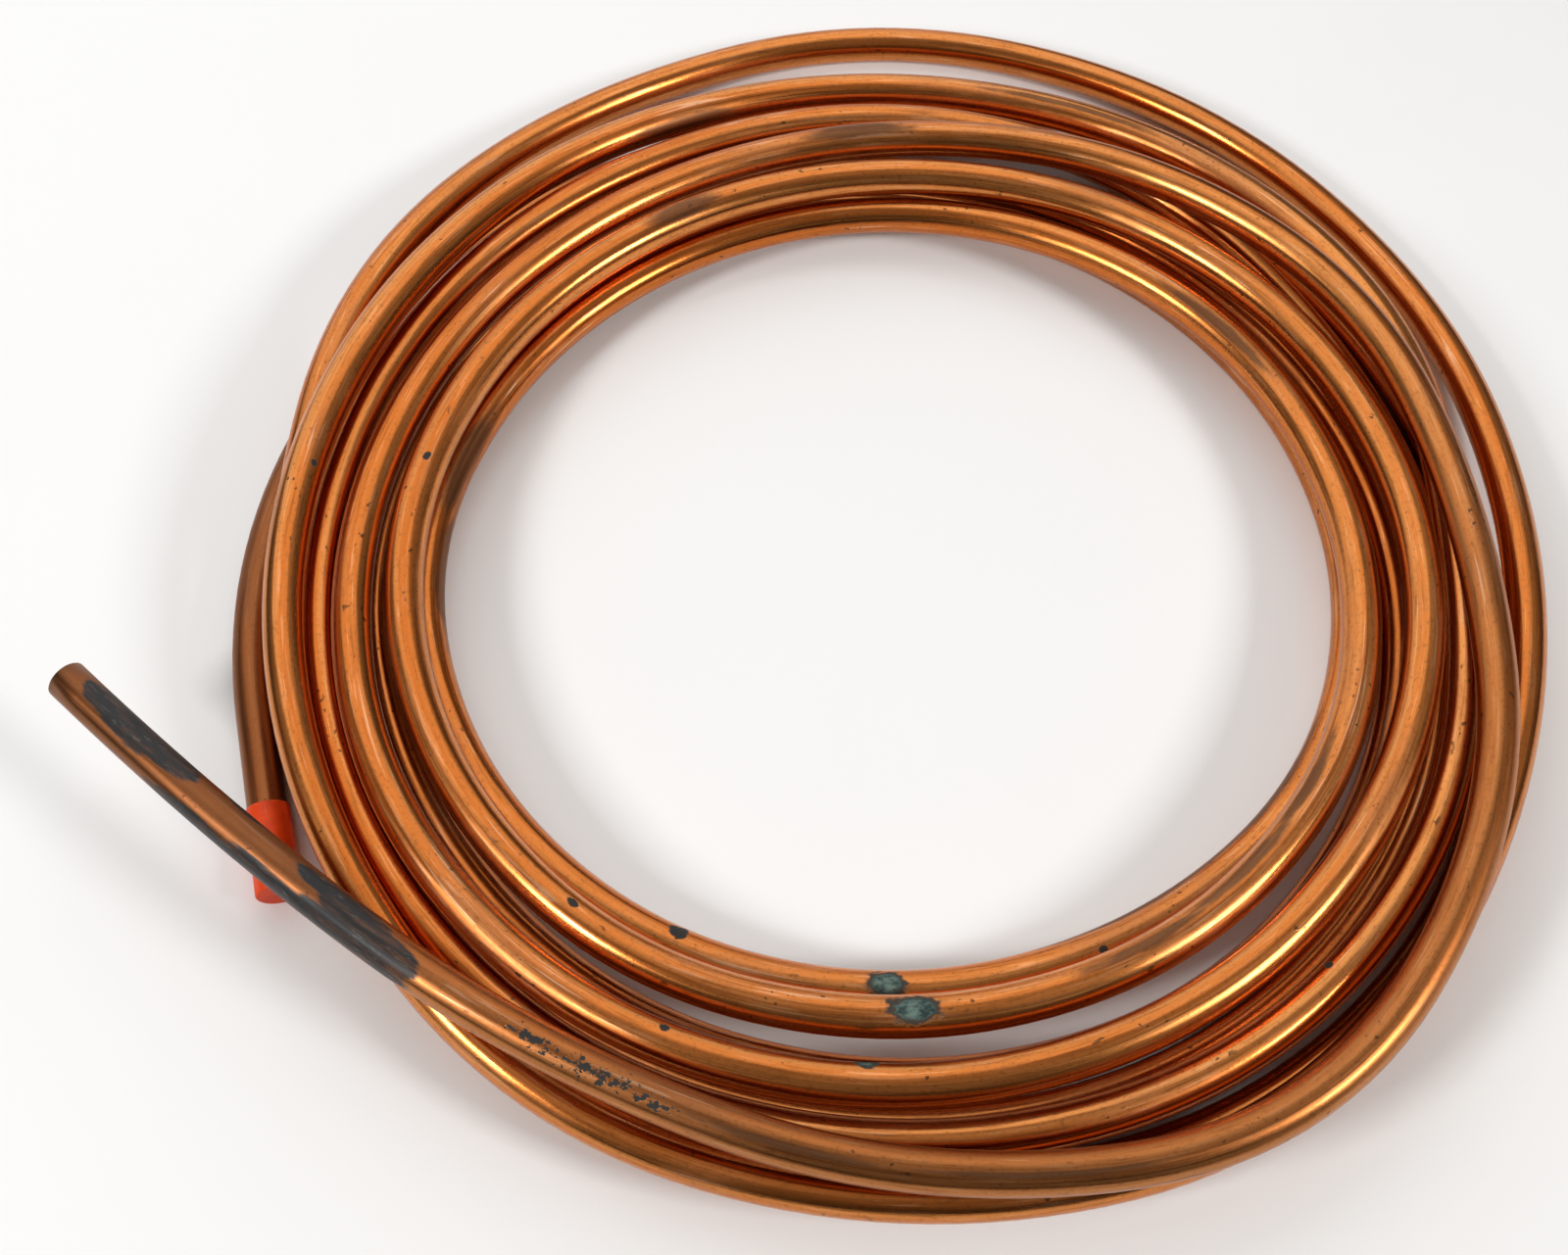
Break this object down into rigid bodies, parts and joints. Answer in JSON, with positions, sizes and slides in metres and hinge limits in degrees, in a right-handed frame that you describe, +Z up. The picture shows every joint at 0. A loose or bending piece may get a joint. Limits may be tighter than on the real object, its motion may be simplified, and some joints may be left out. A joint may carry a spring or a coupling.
{
  "type": "copper tube coil",
  "caption": "Loose coil of soft-drawn copper tube lying flat, with one open free end springing off the top turn and a plastic slip-on cap on the other end.",
  "frame": {"origin": "on the floor that the coil lies on, on the axis of the coil's eye", "axes": "+Z up out of the floor along the axis of the eye, +Y from the side with the free end's crossing towards the far side, the free end points to -X"},
  "size_m": [0.4709, 0.4625, 0.0492],
  "materials": {
    "copper": "satin drawn copper, tarnished in places",
    "cap": "soft dip-moulded plastic"
  },
  "bodies": {
    "root": {"copper_tube": "copper", "end_cap": "cap"}
  },
  "joints": []
}
